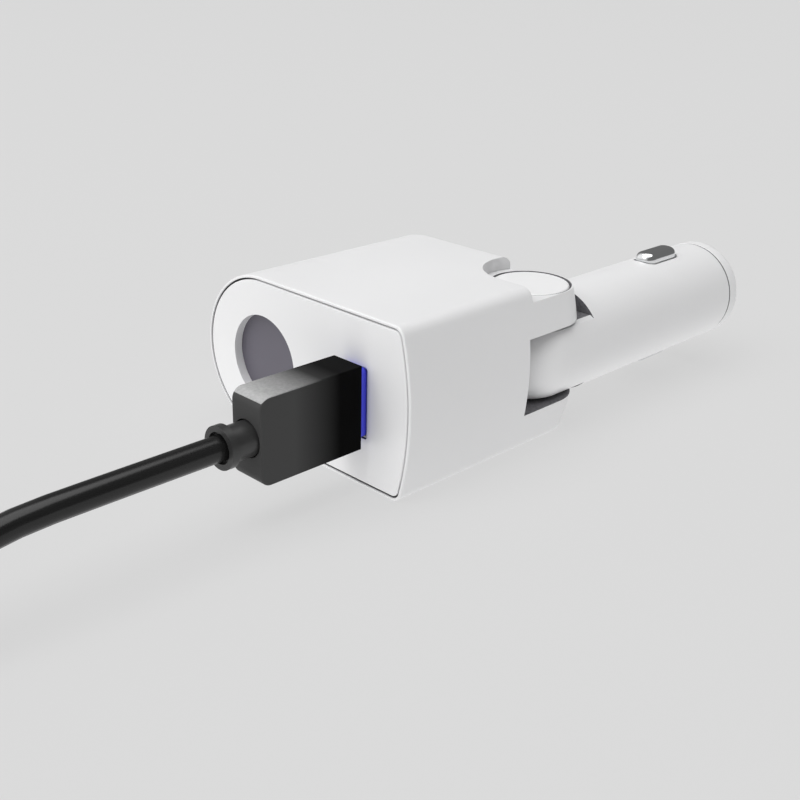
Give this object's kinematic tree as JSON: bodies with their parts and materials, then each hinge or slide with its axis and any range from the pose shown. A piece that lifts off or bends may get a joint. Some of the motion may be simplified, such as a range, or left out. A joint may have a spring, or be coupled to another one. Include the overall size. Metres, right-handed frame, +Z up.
{
  "type": "car usb charger plug",
  "caption": "White folding car charger: D-shaped head with a smoked window and a USB port, a sprung lighter-socket plug on a fork hinge, and a black USB lead",
  "frame": {"origin": "under the middle of the charger without its lead, on the surface that the head rests on", "axes": "+X to the right of the face as seen by someone looking at it, +Y from the face to the plug's tip, +Z up"},
  "size_m": [0.0803, 0.2494, 0.032],
  "materials": {
    "white_plastic": "smooth moulded white",
    "smoked_window": "satin smoked plastic",
    "board_green": "solder mask",
    "lamp_plastic": "clear lamp",
    "sheet_steel": "plated sheet",
    "turned_steel": "turned or drawn steel",
    "contact_chrome": "bright plating",
    "contact_brass": "plated contacts",
    "fuse_glass": "clear tube",
    "inner_black": "black insulator",
    "ferrite": "dark ferrite",
    "can_aluminium": "drawn cans",
    "lead_grip": "satin black moulding",
    "blue_collar": "saturated blue",
    "cable": "smooth dark grey jacket",
    "strap": "black strap"
  },
  "bodies": {
    "head": {"cable_coil": "cable", "cable_run": "cable", "cable_tail": "cable", "cable_tie": "strap", "circuit_board": "board_green", "converter_chip": "inner_black", "far_grip": "lead_grip", "far_shell": "sheet_steel", "friction_washer": "inner_black", "front_plate": "white_plastic", "housing": "white_plastic", "indicator_board": "board_green", "indicator_led": "lamp_plastic", "inductor": "ferrite", "input_capacitor": "can_aluminium", "lead_boot": "lead_grip", "lead_collar": "blue_collar", "lead_contacts": "contact_brass", "lead_grip": "lead_grip", "lead_insert": "inner_black", "lead_shell": "sheet_steel", "output_capacitor": "can_aluminium", "pivot_cap": "white_plastic", "pivot_pin": "turned_steel", "port_contacts": "contact_brass", "port_shell": "sheet_steel", "port_tongue": "inner_black", "window_lens": "smoked_window"},
    "plug": {"plug_barrel": "white_plastic", "nose_cap": "white_plastic", "fuse_carrier": "inner_black", "tip_spring": "turned_steel", "fuse_terminal": "contact_brass", "upper_contact_leaf": "turned_steel", "lower_contact_leaf": "turned_steel"},
    "tip": {"tip_contact": "contact_chrome", "fuse_glass": "fuse_glass", "fuse_caps": "turned_steel", "fuse_wire": "turned_steel"},
    "upper_contact": {"upper_side_contact": "contact_chrome"},
    "lower_contact": {"lower_side_contact": "contact_chrome"}
  },
  "joints": [
    {"name": "plug_fold", "type": "hinge", "parent": "head", "child": "plug", "pos_m": [0.0175, -0.0133, 0.016], "axis": [0, 0, -1], "range_deg": [0, 90]},
    {"name": "tip_press", "type": "slide", "parent": "plug", "child": "tip", "axis": [0, -1, 0], "range_m": [0, 0.0025], "stiffness_N_per_m": 1500, "springref_m": -0.0006, "deforming": ["tip_spring"]},
    {"name": "upper_contact_press", "type": "slide", "parent": "plug", "child": "upper_contact", "axis": [0, 0, -1], "range_m": [0, 0.0018], "stiffness_N_per_m": 1500, "springref_m": -0.0006, "deforming": ["upper_contact_leaf"]},
    {"name": "lower_contact_press", "type": "slide", "parent": "plug", "child": "lower_contact", "axis": [0, 0, 1], "range_m": [0, 0.0018], "stiffness_N_per_m": 1500, "springref_m": -0.0006, "deforming": ["lower_contact_leaf"]}
  ]
}
